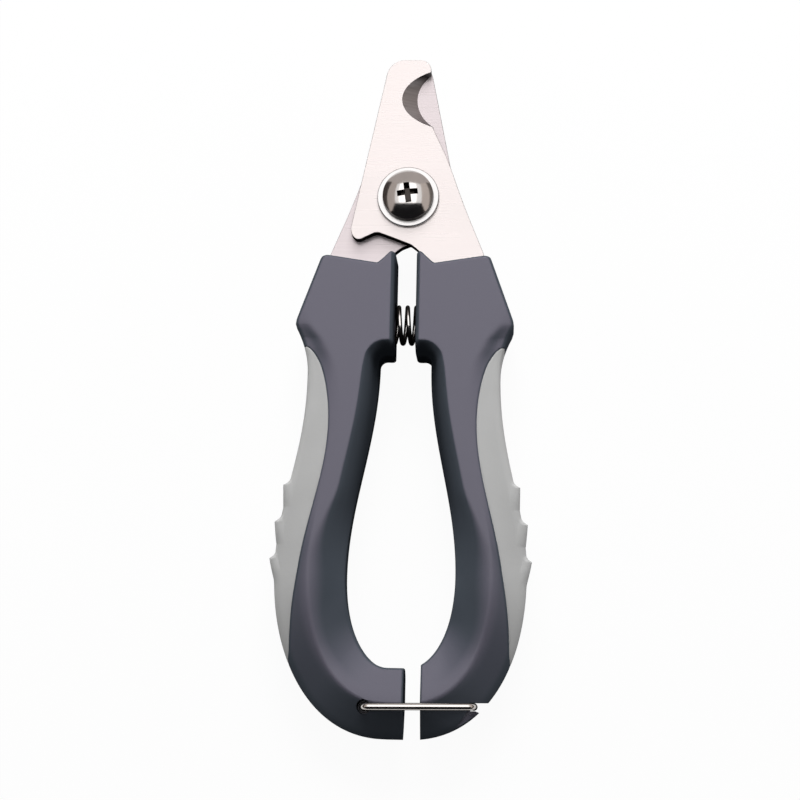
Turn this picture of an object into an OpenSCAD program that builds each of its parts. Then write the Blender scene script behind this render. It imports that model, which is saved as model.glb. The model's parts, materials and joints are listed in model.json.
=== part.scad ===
// Plier type pet nail clipper, shut and locked, lying on its back.
// X runs across the handles, Y towards the blade tips, Z up from the table.
// Shapes are drawn about the pivot and moved to the resting frame by placed().

/* [Blades] */
// Distance from the pivot to the blade tip
blade_reach = 29.6; // [26:0.1:34]
// Thickness of each blade plate
blade_t = 2.2; // [1.6:0.1:2.6]
// Running gap between the two plates
blade_gap = 0.06; // [0.02:0.01:0.1]
// Half width of the rounded blade tip
tip_half = 4.2; // [3.6:0.1:4.8]
// Depth of the tang below the neck's top
tang_depth = 27; // [24:0.5:28]
// Width of the tang inside the handle
tang_w = 5.6; // [4.5:0.1:6.5]
// Diameter of the two moulding holes in the tang
tang_hole_d = 3; // [2:0.1:3.4]
// Radius of the nail notch at the cutting edge
notch_r = 6.5; // [5.5:0.1:7]
// Sideways run of the notch's hollow ground bevel
notch_bevel = 3.2; // [2:0.1:3.6]

/* [Pivot] */
// Diameter of the screw's shank
screw_d = 5; // [4:0.1:6]
// Diameter of the screw's dome head
head_d = 10.4; // [9:0.1:11.6]
// Height of the dome head
head_h = 3.2; // [2.4:0.1:3.6]
// Outer diameter of both washers
washer_d = 12.6; // [11.8:0.1:13.4]
// Thickness of both washers
washer_t = 0.7; // [0.4:0.05:0.9]
// Width of the nut across its flats
nut_af = 8; // [7.6:0.1:9]
// Thickness of the nut
nut_h = 3; // [2.4:0.1:3.2]
// Radial running clearance at the pivot
pivot_fit = 0.05; // [0.02:0.01:0.1]
// Width across the cross recess
recess_w = 4.4; // [3.4:0.1:5]

/* [Handles] */
// Distance from the pivot to the bottom of the handles
handle_reach = 108.3; // [102:0.1:114]
// Distance from the pivot to the neck's top edge
neck_top = 12.4; // [11.8:0.1:13]
// Half width at the neck's top edge
top_half = 16.5; // [15.9:0.1:17.4]
// Distance from the pivot to the shoulders
shoulder_y = 27.4; // [26.4:0.1:28.4]
// Half width across the shoulders
shoulder_half = 21.9; // [21:0.1:22.8]
// Distance from the pivot to the waist
waist_y = 37; // [36:0.1:38.6]
// Half width at the waist
waist_half = 19.2; // [18.4:0.1:20.2]
// Distance from the pivot to the widest point of the handles
belly_y = 76; // [74:0.1:78]
// Half width at the widest point, fins left out
belly_half = 24.7; // [24:0.1:26]
// Gap between the two necks
neck_gap = 4.2; // [3.6:0.1:5]
// Distance from the pivot to the underside of the necks
loop_top = 32.7; // [32.2:0.1:33.8]
// Half width of the finger loop below the necks
loop_top_half = 5.2; // [4.6:0.1:5.8]
// Half width of the finger loop at its widest
loop_half = 10.7; // [9.8:0.1:11.6]
// Width of the handle ends below the finger loop
tail_w = 13.6; // [12.8:0.1:14.2]
// Thickness of the necks and grips
handle_t = 14; // [13.2:0.1:15]
// Thickness of the handle ends
tail_t = 10; // [9.2:0.1:10.6]
// Where the left handle ends, right of the middle
left_end_x = 1.1; // [0.4:0.1:1.5]
// Gap between the two handle ends
end_gap = 3.3; // [2.8:0.1:4]

/* [Grips] */
// Distance from the pivot to the top of the grips
grip_top = 31.9; // [31.2:0.1:32.6]
// Distance from the pivot to the bottom of the grips
grip_bottom = 93.5; // [90:0.1:95]
// Width of the grips on the front face
grip_w = 5.9; // [5:0.1:6.4]
// Distance from the pivot to the first fin
fin_first = 58.6; // [57:0.1:60]
// Distance between fins
fin_pitch = 7.05; // [6.4:0.05:7.4]
// Number of fins on each grip
fin_count = 3; // [2:1:3]
// Height of the fins
fin_h = 1; // [0.6:0.1:1.4]
// Length of a fin along the grip
fin_length = 4.2; // [3.6:0.1:5]
// Length of a fin through the thickness
fin_span = 7; // [5:0.1:8]

/* [Return spring] */
// Distance from the pivot to the spring's axis
spring_y = 26.2; // [25.6:0.1:26.8]
// Outer diameter of the spring
spring_d = 8.2; // [7.6:0.1:8.6]
// Diameter of the spring wire
spring_wire = 0.9; // [0.7:0.05:1.1]
// Number of curls
spring_curls = 8; // [5:1:8]
// Depth of the spring pocket in each neck
pocket_depth = 5.8; // [5.2:0.1:6]
// Room between the spring and its pocket
pocket_room = 0.5; // [0.3:0.05:0.6]
// Diameter of the spigot inside the spring
spigot_d = 5; // [4:0.1:5.2]

/* [Lock hook] */
// Diameter of the lock wire
hook_wire = 1.4; // [1.2:0.05:1.6]
// Length of the hook between its two bent ends
hook_length = 21.1; // [20.6:0.1:21.6]
// Distance from the middle to the hook's bore
hook_x = 6.4; // [6:0.1:6.8]
// Height of the hook above the bottom of the handles
hook_rise = 6.2; // [5.8:0.1:6.6]
// Depth of the hook's tip below its rod
tip_depth = 4.4; // [4:0.1:4.8]
// Bend radius of the hook's wire
hook_bend = 1.3; // [1.1:0.05:1.5]
// Radial clearance of the hook in its bore
hook_fit = 0.06; // [0.02:0.01:0.1]
// Gap between the hook's rod and the handle ends
hook_lift = 0.25; // [0.15:0.05:0.4]

/* [Hidden] */
$fn = 64;
steel = "gainsboro";
chrome = "silver";
plastic = "dimgray";
rubber = "darkgray";

// The pivot's place in the resting frame
pivot_y = (handle_reach - blade_reach) / 2;
mid_z = handle_t / 2;
far = 200;

// Levels through the thickness, about the plane between the blades
plate_low = blade_gap / 2;
plate_high = plate_low + blade_t;
washer_low = plate_high + pivot_fit;
washer_high = washer_low + washer_t;
head_rim = 0.9;
dome_h = head_h - head_rim;
dome_r = (pow(head_d / 2, 2) + pow(dome_h, 2)) / (2 * dome_h);
nut_top = -plate_high - washer_t;
thread_end = nut_top - nut_h - 0.4;
recess_slot = 1.1;
recess_depth = 1.7;
recess_turn = 8;

// Outline of the blade tip
tip_r_left = 2.4;
tip_r_right = 2.1;
tip_points = 8;
notch_y = blade_reach - 8.4;

// Outline of the handles
tail_x = 2;
turn_power = 2.2;
belly_skew = 1.15;
loop_belly_y = belly_y + 1;
loop_bottom = handle_reach - tail_w;
tail_past = 4;
tab_run = 1.8;
tab_from = max(loop_top - tab_run / 2, grip_top + 0.1);
edge_stop = 0.995;
box_power = 14;
neck_proud = 0.1;
arm_power = 3;
arm_outer_power = 2.2;
tail_power = 3.5;
tail_outer_power = 1.6;
thin_by = 50;
core_points = 10;
grip_points = 6;
neck_steps = 4;
tab_steps = 5;
arm_steps = 16;
turn_steps = 7;
grip_turn = asin(pow((grip_bottom - belly_y) / (handle_reach - belly_y), turn_power / 2));
top_dip = 2.4;
top_dip_x = 5.5;
top_peak_x = 3;
top_slope = 0.8;
grip_skew = 0.88;
grip_power = 0.65;
grip_lip = 0.35;
tiny = 0.0001;
right_end_x = left_end_x + end_gap;

// Spring pockets
pocket_d = spring_d + 2 * pocket_room;
pocket_end = neck_gap / 2 + pocket_depth;
spigot_length = 3;
spring_r = (spring_d - spring_wire) / 2;
spring_end = pocket_end - spring_wire;
spring_pitch = 2 * spring_end / spring_curls;
rings_per_curl = 8;
wire_sides = 6;

// Lock hook and its notch
hook_y = handle_reach - hook_rise;
hook_turn = 1;
hook_r = hook_wire / 2;
rod_z = tail_t / 2 + hook_lift + hook_r;
bore_r = hook_r + hook_fit;
mouth_r = hook_bend + hook_r - hook_fit;
mouth_floor = rod_z - hook_bend - hook_r + hook_lift;
seat_z = -tail_t / 2 + 1;
rivet_z = seat_z - hook_fit;
rivet_r = 1.2;
rivet_h = 0.7;
seat_r = 1.6;
catch_x = -hook_x + hook_length * cos(hook_turn);
catch_y = -hook_y + hook_length * sin(hook_turn);
catch_room = 0.3;
shoulder_room = 0.4;
lip_drop = 0.45;
lip_slope = 0.4;
release_floor = rod_z - tip_depth - 0.4;
release_run = [-5.6, -8.4];

// Tang: inner and outer edges inside the neck
tang_x = pocket_end + 1.8;
tang_end = neck_top + tang_depth;
tang_lean = -1;
hole_a = neck_top + 0.35 * tang_depth;
hole_b = neck_top + 0.8 * tang_depth;

function mix(a, b, f) = a + (b - a) * f;
function ease(f) = (1 - cos(180 * min(1, max(0, f)))) / 2;
function part_of(v, a, b) = (v - a) / (b - a);

// Outer edge of a handle at a distance below the pivot, down to the widest point
function outer_at(y) =
    y < shoulder_y ? mix(top_half, shoulder_half, part_of(y, neck_top, shoulder_y))
    : y < waist_y ? waist_half + (shoulder_half - waist_half) * pow(1 - part_of(y, shoulder_y, waist_y), 2)
    : mix(waist_half, belly_half, ease(pow(part_of(y, waist_y, belly_y), belly_skew)));

// Edge of the finger loop, down to its widest point
function loop_at(y) = mix(loop_top_half, loop_half, ease(part_of(y, loop_top + tab_run, loop_belly_y)));

// A station holds its outer point, inner point, half thickness, inner and outer roundness
function neck_outer_power(y) = mix(box_power, arm_outer_power, ease(part_of(y, shoulder_y, waist_y)));
function neck_station(y) =
    [[outer_at(y), -y], [neck_gap / 2, -y], mid_z + neck_proud, box_power, neck_outer_power(y)];
function tab_station(f) =
    let (y = mix(tab_from, loop_top + tab_run, f))
    [[outer_at(y), -y], [mix(neck_gap / 2, loop_top_half, ease(1.4 * f)), -y],
     mid_z + neck_proud * (1 - ease(f)), mix(box_power, arm_power, f), neck_outer_power(y)];
function arm_station(f) =
    let (y = mix(loop_top + tab_run, belly_y, f), v = mix(loop_top + tab_run, loop_belly_y, f))
    [[outer_at(y), -y], [loop_at(v), -v], mid_z, arm_power, arm_outer_power];
function turn_station(a) =
    [[tail_x + (belly_half - tail_x) * pow(cos(a), 2 / turn_power),
      -belly_y - (handle_reach - belly_y) * pow(sin(a), 2 / turn_power)],
     [tail_x + (loop_half - tail_x) * cos(a), -loop_belly_y - (loop_bottom - loop_belly_y) * sin(a)],
     mix(mid_z, tail_t / 2, ease(a / thin_by)),
     mix(arm_power, tail_power, a / 90), mix(arm_outer_power, tail_outer_power, a / 90)];
function tail_station(x) = [[x, -handle_reach], [x, -loop_bottom], tail_t / 2, tail_power, tail_outer_power];

stations = concat(
    [for (i = [0:neck_steps]) neck_station(mix(neck_top, shoulder_y, i / neck_steps))],
    [for (i = [1:neck_steps]) neck_station(mix(shoulder_y, grip_top, i / neck_steps))],
    [for (i = [0:tab_steps - 1]) tab_station(i / tab_steps)],
    [for (i = [0:arm_steps]) arm_station(i / arm_steps)],
    [for (i = [1:turn_steps]) turn_station(grip_turn * i / turn_steps)],
    [for (i = [1:turn_steps]) turn_station(mix(grip_turn, 90, i / turn_steps))],
    [tail_station(tail_x - tail_past)]);

// The grip's width follows the distance below the pivot of the station's outer point
function grip_share(s) = part_of(-s[0][1], grip_top, grip_bottom);
function gripped(s) = grip_share(s) > -tiny && grip_share(s) < 1 + tiny;
function grip_swell(f) = pow(max(0, sin(180 * pow(max(0, f), grip_skew))), grip_power);
function grip_width(s) = grip_lip + (grip_w - grip_lip) * grip_swell(grip_share(s));
function seam_at(s) = gripped(s) ? edge_stop - 2 * grip_width(s) / norm(s[0] - s[1]) : edge_stop;

// A point of the section, from -1 at the loop to 1 at the outer edge
function height(s, t) = let (p = t < 0 ? s[3] : s[4]) s[2] * pow(1 - pow(abs(t), p), 1 / p);
function spot(s, t, side) = concat(s[1] + (s[0] - s[1]) * (t + 1) / 2, [side * height(s, t)]);
function core_ring(s) =
    let (seam = seam_at(s), n = core_points, ts = [for (k = [1:n]) mix(-1, seam, (1 - cos(180 * k / n)) / 2)])
    concat([spot(s, -1, 0)], [for (t = ts) spot(s, t, 1)], [for (k = [n:-1:1]) spot(s, ts[k - 1], -1)]);
function grip_ring(s) =
    let (seam = seam_at(s), n = grip_points, ts = [for (k = [0:n]) mix(seam, edge_stop, sin(90 * k / n))])
    concat([for (t = ts) spot(s, t, 1)], [for (k = [n:-1:0]) spot(s, ts[k], -1)]);

// Rings joined into one closed skin of triangles
module skin(rings) {
    m = len(rings[0]);
    n = len(rings);
    sides = [for (i = [0:n - 2], j = [0:m - 1], k = [0, 1])
        let (a = i * m + j, b = i * m + (j + 1) % m) k == 0 ? [a, b, b + m] : [a, b + m, a + m]];
    first = [for (j = [1:m - 2]) [0, j + 1, j]];
    last = [for (j = [1:m - 2]) [0, j, j + 1] + (n - 1) * m * [1, 1, 1]];
    polyhedron([for (r = rings) each r], concat(sides, first, last));
}

module placed() translate([0, pivot_y, mid_z]) children();

// Half of a pair: the right one is drawn, the left one is its mirror image
module side(left) mirror([left ? 1 : 0, 0, 0]) children();

// Outline of the blade and its tang, seen from the front, for the one in the right handle
function arc(c, r, from, to, n) =
    [for (i = [0:n]) let (a = mix(from, to, i / n)) c + r * [cos(a), sin(a)]];
// Corners from the notch down to the handle, across the throat to the heel, and up the left edge
right_edge = [[tip_half, notch_y], [4.8, 14.7], [8, 7.9], [11.2, -1.3], [15.5, -11.8]];
throat = [[2.2, -11], [0.8, -9.9], [-2.7, -8.5], [-6.3, -7.3], [-8.2, -8.1]];
heel = [-10.5, -7.6];
heel_r = 1.1;
left_waist = [-9.5, 3.8];
lean = 12;
blade_outline = concat(
    arc([-tip_half + tip_r_left - 0.1, blade_reach - tip_r_left], tip_r_left, 180 - lean, 90, tip_points),
    arc([tip_half - tip_r_right, blade_reach - tip_r_right], tip_r_right, 90, 0, tip_points),
    right_edge,
    [[tang_x + tang_w, -neck_top - top_dip], [tang_x + tang_w, -loop_top],
     [tang_x + tang_w + tang_lean, -tang_end], [tang_x + tang_lean, -tang_end], [tang_x, -loop_top],
     [tang_x, -neck_top - top_dip], [top_peak_x, -neck_top - top_dip], [top_peak_x, -neck_top]],
    throat,
    arc(heel, heel_r, -70, -180 - lean, tip_points),
    [left_waist]);
module plate() {
    difference() {
        translate([0, 0, plate_low]) linear_extrude(blade_t) polygon(blade_outline);
        for (y = [hole_a, hole_b])
            translate([tang_x + tang_w / 2, -y, 0]) cylinder(d = tang_hole_d, h = far, center = true);
    }
}
// The grinding wheel's path: it leaves the cutting edge and runs sideways towards the face
module nail_notch() {
    edge = [tip_half + 3.55, notch_y];
    shift = [-notch_bevel - 0.4, -0.4];
    face_r = notch_r - 0.7;
    skim = 0.02;
    hull() {
        translate([edge[0], edge[1], plate_low - skim]) cylinder(r = notch_r, h = skim, $fn = 120);
        translate([edge[0] + shift[0], edge[1] + shift[1], plate_high])
            cylinder(r = face_r, h = skim, $fn = 120);
    }
}
module blade() {
    difference() {
        plate();
        cylinder(r = screw_d / 2 + pivot_fit, h = far, center = true);
        nail_notch();
    }
}
module front_blade() color(steel) placed() blade();
module rear_blade() color(steel) placed() rotate([0, 180, 0]) blade();

module washer() {
    difference() {
        cylinder(d = washer_d, h = washer_t);
        cylinder(r = screw_d / 2 + pivot_fit, h = far, center = true);
    }
}
module front_washer() color(chrome) placed() translate([0, 0, washer_low]) washer();
module rear_washer() color(chrome) placed() translate([0, 0, nut_top]) washer();

module pivot_screw() {
    color(chrome) placed() difference() {
        union() {
            translate([0, 0, thread_end]) cylinder(d = screw_d, h = washer_high - thread_end);
            translate([0, 0, washer_high]) cylinder(d = head_d, h = head_rim);
            intersection() {
                translate([0, 0, washer_high + head_rim]) cylinder(d = head_d, h = dome_h);
                translate([0, 0, washer_high + head_h - dome_r]) sphere(r = dome_r);
            }
        }
        for (a = [0, 90]) rotate([0, 0, recess_turn + a])
            translate([-recess_w / 2, -recess_slot / 2, washer_high + head_h - recess_depth])
                cube([recess_w, recess_slot, recess_depth + 1]);
    }
}
module pivot_nut() {
    color(chrome) placed() translate([0, 0, nut_top - nut_h]) difference() {
        cylinder(d = nut_af / cos(30), h = nut_h, $fn = 6);
        translate([0, 0, -1]) cylinder(d = screw_d, h = nut_h + 2);
    }
}

// The neck's top edge dips where the blade comes out
module top_cut() {
    translate([0, 0, -far / 2]) linear_extrude(far)
        polygon([[top_peak_x, -neck_top], [top_dip_x, -neck_top - top_dip], [top_half, -neck_top - top_slope],
                 [far, -neck_top - top_slope], [far, 0], [top_peak_x, 0]]);
}
module spring_pocket() {
    translate([0, -spring_y, 0]) rotate([0, 90, 0]) difference() {
        cylinder(d = pocket_d, h = pocket_end);
        translate([0, 0, pocket_end - spigot_length]) cylinder(d = spigot_d, h = spigot_length + 1);
    }
}
// The handle with flat neck faces, before its end is cut
module handle_core() {
    difference() {
        intersection() {
            skin([for (s = stations) core_ring(s)]);
            translate([-far / 2, -far, -mid_z]) cube([far, far, handle_t]);
        }
        top_cut();
        spring_pocket();
    }
}
module end_cut(x) translate([x - far, -far - loop_bottom + tail_w, -far / 2]) cube([far, far, far]);

module hook_bore() {
    translate([-hook_x, -hook_y, 0]) {
        cylinder(r = bore_r, h = far, center = true);
        translate([0, 0, mouth_floor]) cylinder(r = mouth_r, h = far);
        translate([0, 0, seat_z - far]) cylinder(r = seat_r, h = far);
    }
}
module left_handle() {
    color(plastic) placed() difference() {
        side(true) difference() {
            handle_core();
            end_cut(-left_end_x);
        }
        rotate([0, 180, 0]) plate();
        hook_bore();
    }
}
// The notch takes the hook's tip; the ledge beside it lets the tip swing out
module catch_notch() {
    wall = catch_x - hook_r - catch_room;
    top = catch_y + hook_r + shoulder_room;
    low = catch_y - hook_r - lip_drop;
    translate([0, 0, -far / 2]) linear_extrude(far)
        polygon([[wall, top], [far, top], [far, low - lip_slope * far], [wall + 1, low], [wall, low]]);
    translate([0, 0, release_floor]) linear_extrude(far)
        polygon([[wall, catch_y], [far, catch_y], [far, -far], [wall + release_run[0], -far],
                 [wall + release_run[0], catch_y + release_run[1]]]);
}
module right_handle() {
    color(plastic) placed() difference() {
        handle_core();
        end_cut(right_end_x);
        plate();
        catch_notch();
    }
}

module fin(y) {
    x = outer_at(y);
    root = 1.6;
    translate([0, 0, -fin_span / 2]) linear_extrude(fin_span)
        polygon([[x - root, -y - 0.1], [x, -y + 0.3], [x + fin_h, -y], [x + fin_h - 0.1, -y - 0.5],
                 [outer_at(y + fin_length) - 0.1, -y - fin_length], [x - root, -y - fin_length / 2]]);
}
module grip(left) {
    color(rubber) placed() side(left) {
        skin([for (s = stations) if (gripped(s)) grip_ring(s)]);
        for (i = [0:fin_count - 1]) fin(fin_first + i * fin_pitch);
    }
}
module left_grip() grip(true);
module right_grip() grip(false);

// The spring is one wire: straight ends along the axis and a helix between them
function helix(u) = [-spring_end + u * spring_pitch, spring_r * cos(360 * u), spring_r * sin(360 * u)];
helix_steps = spring_curls * rings_per_curl;
wire_path = concat([[-pocket_end, spring_r, 0]], [for (i = [0:helix_steps]) helix(i / rings_per_curl)],
                   [[pocket_end, spring_r * cos(360 * spring_curls), spring_r * sin(360 * spring_curls)]]);
function unit(v) = v / norm(v);
function heading(i) = i == 0 || i == len(wire_path) - 1 ? [1, 0, 0]
    : unit(unit(wire_path[i + 1] - wire_path[i]) + unit(wire_path[i] - wire_path[i - 1]));
function wire_ring(i) =
    let (p = wire_path[i], d = heading(i), out = unit([0, p[1], p[2]]),
         u = unit(out - d * (out * d)), v = cross(d, u), turn = 360 / wire_sides)
    [for (k = [0:wire_sides - 1]) p + spring_wire / 2 * (u * cos(turn * k) + v * sin(turn * k))];
spring_rings = [for (i = [0:len(wire_path) - 1]) wire_ring(i)];
least_gap = min([for (i = [1:len(wire_path) - 2 - rings_per_curl], k = [-1:1])
    norm(wire_path[i] - wire_path[min(len(wire_path) - 2, i + rings_per_curl + k)])]) - spring_wire;
echo(least_gap_between_curls = least_gap);
module return_spring() color(chrome) placed() translate([0, -spring_y, 0]) skin(spring_rings);

module elbow() rotate([90, 0, 0]) rotate_extrude(angle = 90) translate([hook_bend, 0]) circle(r = hook_r);
module lock_hook() {
    color(chrome) placed() translate([-hook_x, -hook_y, 0]) rotate([0, 0, hook_turn]) {
        translate([0, 0, rivet_z]) cylinder(r = hook_r, h = rod_z - hook_bend - rivet_z);
        translate([0, 0, rivet_z - rivet_h]) cylinder(r = rivet_r, h = rivet_h);
        translate([hook_bend, 0, rod_z - hook_bend]) mirror([1, 0, 0]) elbow();
        translate([hook_bend, 0, rod_z]) rotate([0, 90, 0])
            cylinder(r = hook_r, h = hook_length - 2 * hook_bend);
        translate([hook_length - hook_bend, 0, rod_z - hook_bend]) elbow();
        translate([hook_length, 0, rod_z - tip_depth + hook_r]) {
            cylinder(r = hook_r, h = tip_depth - hook_r - hook_bend);
            sphere(r = hook_r);
        }
    }
}

front_blade();
rear_blade();
pivot_screw();
front_washer();
rear_washer();
pivot_nut();
left_handle();
right_handle();
left_grip();
right_grip();
return_spring();
lock_hook();
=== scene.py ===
import bpy
import bmesh
import json
import math
from mathutils import Matrix, Vector, kdtree


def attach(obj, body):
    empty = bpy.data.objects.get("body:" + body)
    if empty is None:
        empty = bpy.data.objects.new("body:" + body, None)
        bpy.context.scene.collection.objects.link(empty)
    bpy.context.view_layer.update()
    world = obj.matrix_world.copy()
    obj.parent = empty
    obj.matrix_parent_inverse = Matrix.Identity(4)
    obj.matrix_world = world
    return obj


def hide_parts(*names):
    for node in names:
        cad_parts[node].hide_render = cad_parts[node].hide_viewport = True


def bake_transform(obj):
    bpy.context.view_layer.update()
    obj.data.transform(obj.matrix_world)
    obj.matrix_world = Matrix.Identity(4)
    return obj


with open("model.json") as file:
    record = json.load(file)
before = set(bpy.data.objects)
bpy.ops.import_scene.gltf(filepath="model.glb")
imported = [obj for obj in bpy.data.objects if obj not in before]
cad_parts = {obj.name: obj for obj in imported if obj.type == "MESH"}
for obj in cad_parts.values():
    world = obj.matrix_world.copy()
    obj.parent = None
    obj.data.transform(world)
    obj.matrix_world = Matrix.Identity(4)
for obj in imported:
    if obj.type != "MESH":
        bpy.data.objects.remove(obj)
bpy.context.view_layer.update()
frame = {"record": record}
joints = {joint["name"]: joint for joint in frame["record"]["behaviour"]["joints"]}

# everything is drawn in millimetres about the pivot, then moved to the frame
mm = 0.001
pivot = Vector(joints["handle_pivot"]["pos_m"])
toFrame = Matrix.Translation(pivot) @ Matrix.Scale(mm, 4)


def mix(a, b, f):
    return a + (b - a) * f


def ease(f):
    return (1 - math.cos(math.pi * min(1, max(0, f)))) / 2


def spaced(start, stop, count):
    return [mix(start, stop, k / count) for k in range(count)]


# shader sockets with arithmetic

class Wire:
    def __init__(self, finish, socket):
        self.finish = finish
        self.socket = socket

    def maths(self, operation, a, b):
        return self.finish.node("ShaderNodeMath", {"operation": operation}, {0: a, 1: b})

    def __add__(self, other):
        return self.maths("ADD", self, other)

    def __sub__(self, other):
        return self.maths("SUBTRACT", self, other)

    def __rsub__(self, other):
        return self.maths("SUBTRACT", other, self)

    def __mul__(self, other):
        return self.maths("MULTIPLY", self, other)

    __radd__ = __add__


class Finish:
    def __init__(self, tree):
        self.tree = tree
        tree.nodes.clear()

    def node(self, kind, settings=None, inputs=None, output=0):
        made = self.tree.nodes.new(kind)
        for key, value in (settings or {}).items():
            setattr(made, key, value)
        for key, value in (inputs or {}).items():
            if isinstance(value, Wire):
                self.tree.links.new(value.socket, made.inputs[key])
            else:
                made.inputs[key].default_value = value
        return Wire(self, made.outputs[output]) if made.outputs else made

    def place(self, scale=(1, 1, 1), turn=(0, 0, 0)):
        where = self.node("ShaderNodeTexCoord", output="Object")
        return self.node("ShaderNodeMapping", {}, {"Vector": where, "Scale": scale, "Rotation": turn})

    def noise(self, vector, scale, detail=3):
        return self.node("ShaderNodeTexNoise", {}, {"Vector": vector, "Scale": scale, "Detail": detail})

    def blend(self, factor, a, b):
        return self.node("ShaderNodeMix", {"data_type": "RGBA"}, {0: factor, 6: a, 7: b}, output=2)

    def bump(self, height, distance, strength):
        return self.node("ShaderNodeBump", {},
                         {"Height": height, "Distance": distance, "Strength": strength})

    # nought on steep sides, one on flat faces, by the part's own normal; the mask that places painted shade
    # on the steep sides
    def facingForPaintedShade(self, steep, flat):
        normal = self.node("ShaderNodeTexCoord", output="Normal")
        upright = self.node("ShaderNodeSeparateXYZ", {}, {"Vector": normal}, output="Z")
        lift = self.node("ShaderNodeMath", {"operation": "ABSOLUTE"}, {0: upright})
        return self.node("ShaderNodeMapRange", {"interpolation_type": "SMOOTHSTEP"},
                         {"Value": lift, "From Min": steep, "From Max": flat})

    def shader(self, **sockets):
        named = {key.replace("_", " "): value for key, value in sockets.items()}
        return self.node("ShaderNodeBsdfPrincipled", {}, named)

    def mixed(self, factor, a, b):
        return self.node("ShaderNodeMixShader", {}, {0: factor, 1: a, 2: b})

    def output(self, surface):
        self.node("ShaderNodeOutputMaterial", {}, {"Surface": surface})

    def shine(self, **sockets):
        self.output(self.shader(**sockets))


def newFinish(name):
    material = bpy.data.materials.new(name)
    material.use_nodes = True
    return material, Finish(material.node_tree)


noiseMiddle = 0.5


# a value that a noise moves up and down
def around(value, noise, spread):
    return value + (noise - noiseMiddle) * spread


# the flats are finely textured and painted pale as if lit, the steep sides are smooth and painted dark with
# shade
plasticLook = {"side": (0.059, 0.069, 0.085, 1), "sidePale": (0.069, 0.080, 0.096, 1), "sideGloss": 0.0,
               "dark": (0.106, 0.101, 0.134, 1), "pale": (0.120, 0.114, 0.149, 1), "cloud": 90,
               "steep": 0.84, "flat": 1.0, "rough": 0.42, "roughSpread": 0.12,
               "grain": 2600, "grainDetail": 2, "grainDepth": 0.00004, "grainForce": 0.35}


def makePlastic():
    material, finish = newFinish("handlePlastic")
    where = finish.place()
    cloud = finish.noise(where, plasticLook["cloud"])
    grain = finish.noise(where, plasticLook["grain"], plasticLook["grainDetail"])
    # painted shade and sheen: the flats take a paler colour as if lit, the steep sides a darker colour as if
    # shaded, mixed by the part's own normal
    flat = finish.facingForPaintedShade(plasticLook["steep"], plasticLook["flat"])
    topColourWithPaintedSheen = finish.blend(cloud, plasticLook["dark"], plasticLook["pale"])
    smooth = finish.blend(cloud, plasticLook["side"], plasticLook["sidePale"])
    rough = around(plasticLook["rough"], cloud, plasticLook["roughSpread"])
    bumps = finish.bump(grain, plasticLook["grainDepth"], plasticLook["grainForce"])
    top = finish.shader(Base_Color=topColourWithPaintedSheen, Roughness=rough, Normal=bumps)
    side = finish.shader(Base_Color=smooth, Roughness=rough, Specular_IOR_Level=plasticLook["sideGloss"])
    finish.output(finish.mixed(flat, side, top))
    return material


rubberLook = {"dark": (0.445, 0.445, 0.442, 1), "pale": (0.505, 0.505, 0.502, 1), "cloud": 120,
              "rough": 0.62, "roughSpread": 0.15, "gloss": 0.2,
              "grain": 1800, "grainDetail": 2, "grainDepth": 0.00005, "grainForce": 0.4}


def makeRubber():
    material, finish = newFinish("gripRubber")
    where = finish.place()
    cloud = finish.noise(where, rubberLook["cloud"])
    grain = finish.noise(where, rubberLook["grain"], rubberLook["grainDetail"])
    finish.shine(Base_Color=finish.blend(cloud, rubberLook["dark"], rubberLook["pale"]),
                 Roughness=around(rubberLook["rough"], grain, rubberLook["roughSpread"]),
                 Specular_IOR_Level=rubberLook["gloss"],
                 Normal=finish.bump(grain, rubberLook["grainDepth"], rubberLook["grainForce"]))
    return material


steelLook = {"metal": 0.55, "brush": (14, 1500, 60), "lines": 2, "lineSpread": 0.2,
             "smear": 60, "smearDetail": 2, "smearSpread": 0.08, "rough": 0.3,
             "scratchDepth": 0.0000025, "scratchForce": 0.5}


def makeSteel(name, look):
    material, finish = newFinish(name)
    lines = finish.noise(finish.place(steelLook["brush"]), steelLook["lines"])
    smear = finish.noise(finish.place(), steelLook["smear"], steelLook["smearDetail"])
    brushed = around(steelLook["rough"], lines, steelLook["lineSpread"])
    finish.shine(Base_Color=finish.blend(lines, look["dark"], look["pale"]), Metallic=steelLook["metal"],
                 Roughness=around(brushed, smear, steelLook["smearSpread"]),
                 Normal=finish.bump(lines, steelLook["scratchDepth"], steelLook["scratchForce"]))
    return material


groundLook = {"dark": (0.012, 0.010, 0.010, 1), "pale": (0.60, 0.55, 0.55, 1), "leastTone": 0.5,
              "rough": 0.45, "turn": 1.2, "steep": 0.1, "flat": 0.86}


# ground bevel: brushed across, with painted shade that darkens it where it stands steep
def makeGround():
    material, finish = newFinish("groundSteel")
    lines = finish.noise(finish.place(steelLook["brush"], (0, 0, groundLook["turn"])), steelLook["lines"])
    streaks = groundLook["leastTone"] + lines * (1 - groundLook["leastTone"])
    # painted shade: the brush streaks are pulled towards the dark colour where the bevel stands steep
    tone = finish.facingForPaintedShade(groundLook["steep"], groundLook["flat"]) * streaks
    finish.shine(Base_Color=finish.blend(tone, groundLook["dark"], groundLook["pale"]), Metallic=1.0,
                 Roughness=around(groundLook["rough"], lines, steelLook["lineSpread"]),
                 Normal=finish.bump(lines, steelLook["scratchDepth"], steelLook["scratchForce"]))
    return material


chromeLook = {"smear": 420, "roughSpread": 0.08}


def makeBright(finish, look):
    smear = finish.noise(finish.place(), chromeLook["smear"])
    return finish.shader(Base_Color=finish.blend(smear, look["dark"], look["pale"]), Metallic=1.0,
                         Roughness=around(look["rough"], smear, chromeLook["roughSpread"]))


def makeChrome(name, look):
    material, finish = newFinish(name)
    finish.output(makeBright(finish, look))
    return material


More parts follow.
